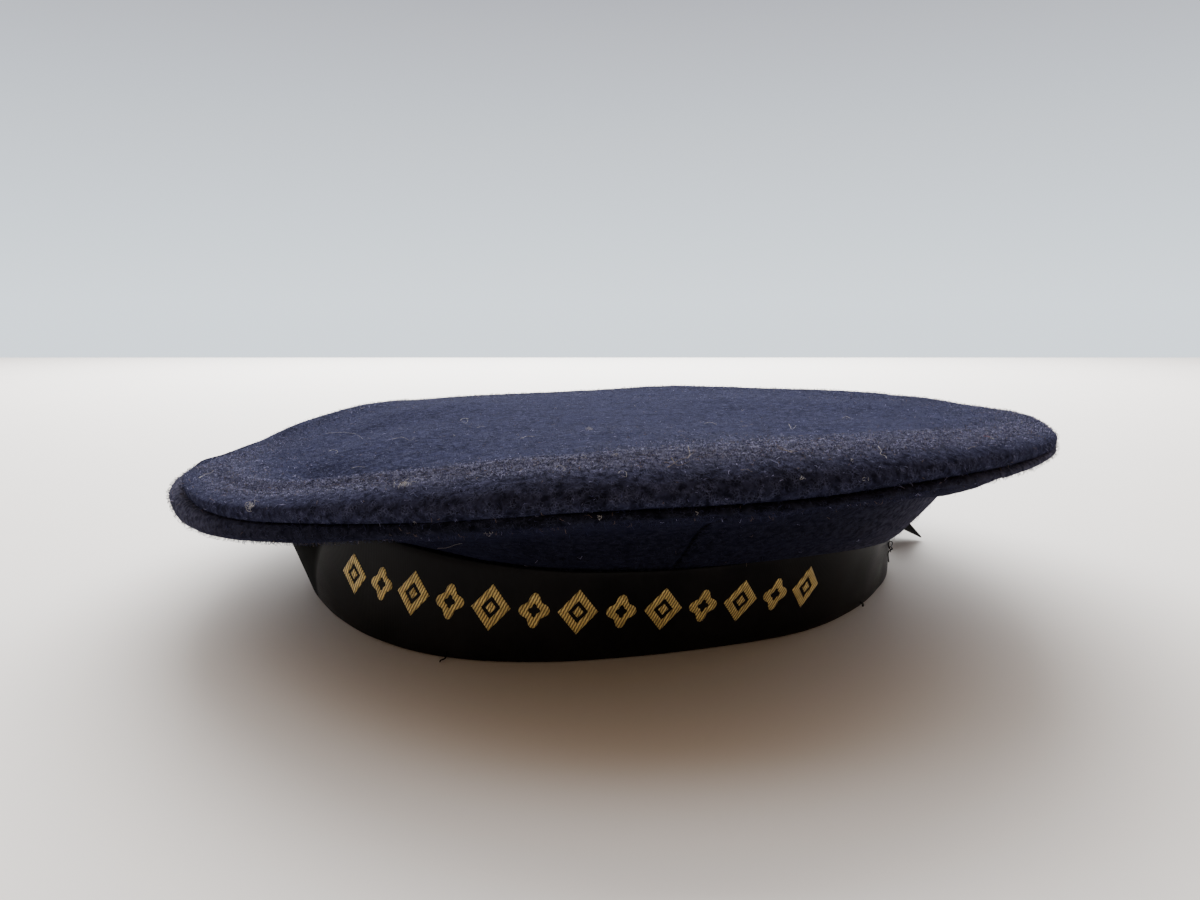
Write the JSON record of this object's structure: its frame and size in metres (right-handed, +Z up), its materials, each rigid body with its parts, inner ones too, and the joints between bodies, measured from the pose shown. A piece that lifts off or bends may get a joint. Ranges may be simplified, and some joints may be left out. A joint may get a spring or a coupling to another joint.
{
  "type": "sailor cap",
  "caption": "Soft, round, wide-crowned sailor cap of dark navy wool, with a black silk ribbon tied round its band in a small flat bow behind one side.",
  "frame": {"origin": "on the table, under the middle of the round crown", "axes": "+Z up, the front of the cap towards -Y, the wearer's left-hand side, where the bow is, towards +X"},
  "size_m": [0.2616, 0.2598, 0.0569],
  "materials": {
    "crown_top": "felted wool",
    "quarter_front_left": "felted wool",
    "quarter_front_right": "felted wool",
    "quarter_back_right": "felted wool",
    "quarter_back_left": "felted wool",
    "head_band": "felted wool",
    "cap_ribbon": "ribbed silk, soft sheen",
    "bow_knot": "ribbed silk, soft sheen",
    "bow_loop_front": "ribbed silk, soft sheen",
    "bow_loop_back": "ribbed silk, soft sheen",
    "bow_tail_front": "ribbed silk, soft sheen",
    "bow_tail_back": "ribbed silk, soft sheen"
  },
  "bodies": {
    "root": {"crown_top": "crown_top", "quarter_front_left": "quarter_front_left", "quarter_front_right": "quarter_front_right", "quarter_back_right": "quarter_back_right", "quarter_back_left": "quarter_back_left", "head_band": "head_band", "cap_ribbon": "cap_ribbon", "bow_knot": "bow_knot", "bow_loop_front": "bow_loop_front", "bow_loop_back": "bow_loop_back", "bow_tail_front": "bow_tail_front", "bow_tail_back": "bow_tail_back"}
  },
  "joints": []
}
